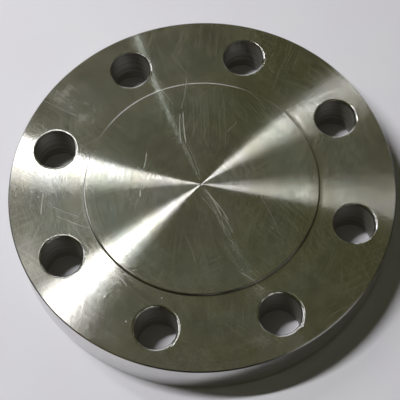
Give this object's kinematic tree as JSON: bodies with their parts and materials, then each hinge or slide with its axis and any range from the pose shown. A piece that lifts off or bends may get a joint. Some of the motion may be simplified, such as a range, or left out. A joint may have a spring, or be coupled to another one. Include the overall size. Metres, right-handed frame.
{
  "type": "blind flange",
  "caption": "Solid raised-face blind flange, turned and drilled, that bolts over the end of a pipe flange to close it.",
  "frame": {"origin": "centre of the back face, the plane that the flange lies on", "axes": "+Z along the flange's axis, out of the raised sealing face; the bolt holes straddle +X and +Y, the first one 22.5 degrees from +X towards +Y"},
  "size_m": [0.2096, 0.2096, 0.0286],
  "materials": {
    "machined_steel": "turned stainless steel with fine concentric tool marks, plain satin rim, broken edges"
  },
  "bodies": {
    "root": {"blind_flange": "machined_steel"}
  },
  "joints": []
}
